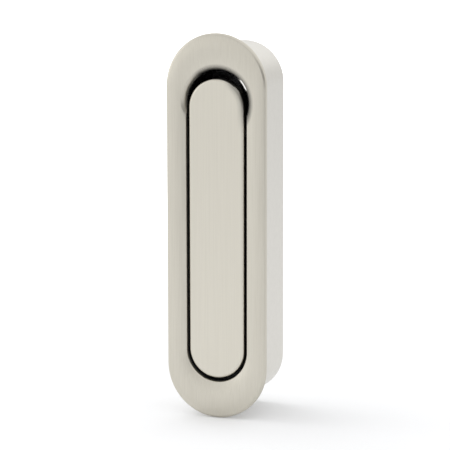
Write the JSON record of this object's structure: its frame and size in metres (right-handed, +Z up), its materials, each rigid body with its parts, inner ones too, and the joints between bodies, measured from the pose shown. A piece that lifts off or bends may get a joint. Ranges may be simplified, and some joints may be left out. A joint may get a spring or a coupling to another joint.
{
  "type": "pocket door edge pull",
  "caption": "Recessed edge pull for a sliding pocket door: a round-ended housing with a finger scoop and a flush sprung lever that flips out as a handle.",
  "frame": {"origin": "centre of the flange's seating plane, where it meets the door's edge", "axes": "+X across the door's edge, +Y into the door, +Z up along the pull"},
  "size_m": [0.0254, 0.0206, 0.093],
  "materials": {
    "satin_nickel": "satin",
    "satin_nickel_lever": "satin",
    "pin_steel": "satin",
    "spring_steel": "satin"
  },
  "bodies": {
    "housing": {"housing": "satin_nickel", "pivot_pin": "pin_steel", "return_spring": "spring_steel"},
    "lever": {"lever": "satin_nickel_lever"}
  },
  "joints": [
    {"name": "lever_pivot", "type": "hinge", "parent": "housing", "child": "lever", "pos_m": [0, 0.00455, 0.02275], "axis": [-1, 0, 0], "range_deg": [0, 70], "stiffness_Nm_per_rad": 0.02, "springref_deg": -28.65, "deforming": ["return_spring"]}
  ]
}
